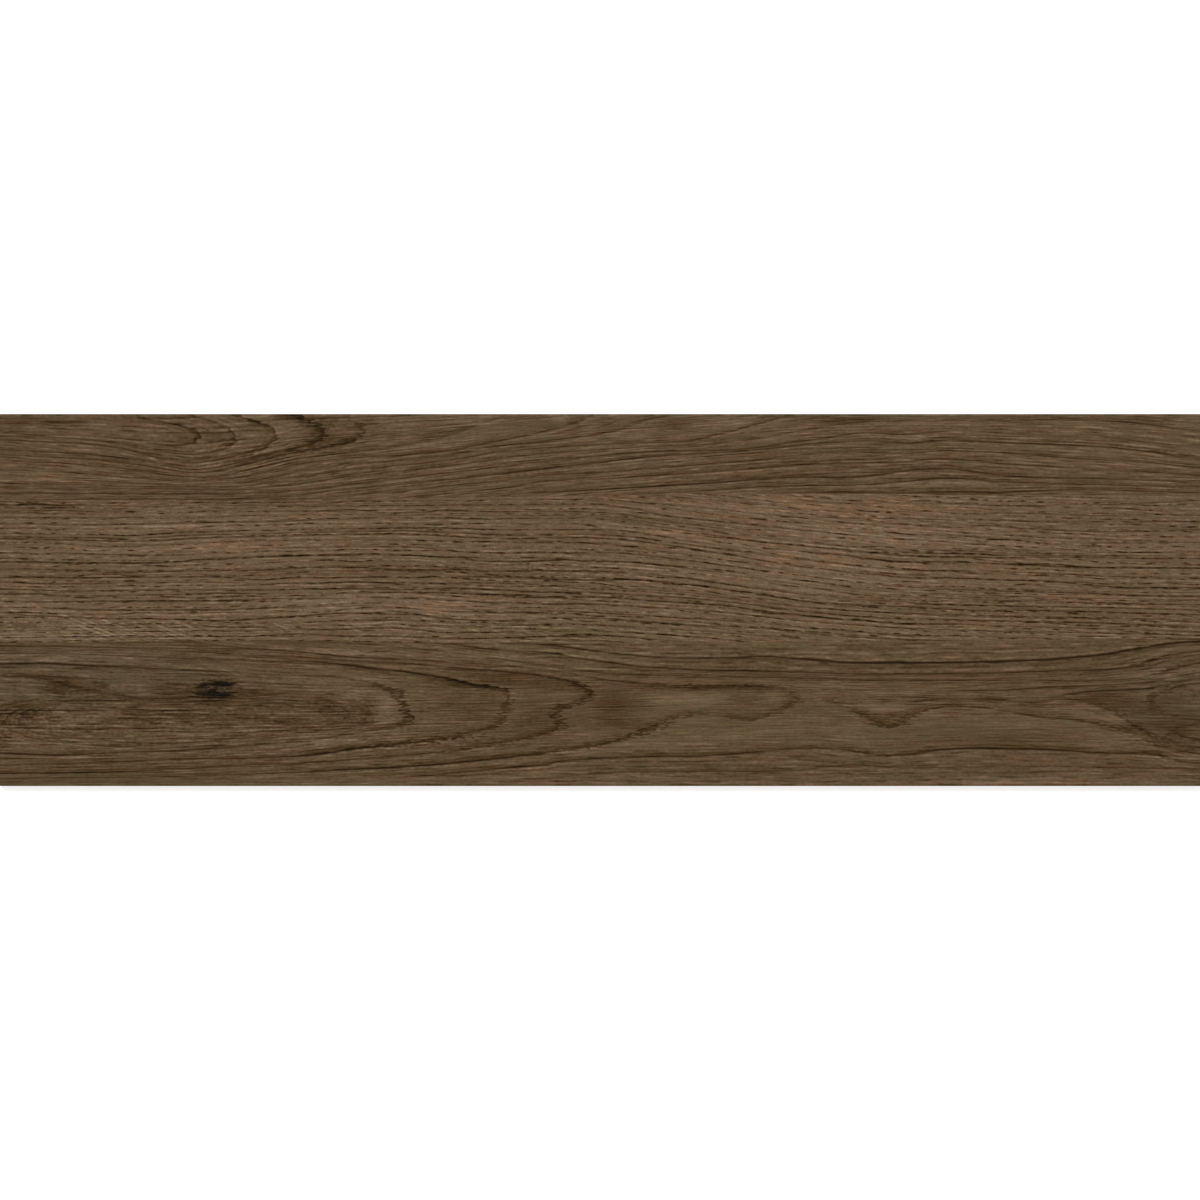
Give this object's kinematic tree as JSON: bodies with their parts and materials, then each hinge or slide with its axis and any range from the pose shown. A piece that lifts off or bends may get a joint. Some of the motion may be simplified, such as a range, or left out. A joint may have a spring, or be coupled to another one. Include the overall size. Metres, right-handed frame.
{
  "type": "wood look porcelain plank tile",
  "caption": "Flat rectangular porcelain plank with a wood grain printed face, a rounded arris, drafted edges and a ribbed keying back, laid on floors and walls.",
  "frame": {"origin": "centre of the plank's footprint, on the plane that the back ribs bed on", "axes": "+X along the plank's length and its grain, +Y across its width, +Z from the bed up to the printed face"},
  "size_m": [0.598, 0.185, 0.008],
  "materials": {
    "printed_porcelain": "matt glaze over a dark brown wood grain print, embossed along the grain; pale unglazed body on the edges and the back"
  },
  "bodies": {
    "root": {"plank_tile": "printed_porcelain"}
  },
  "joints": []
}
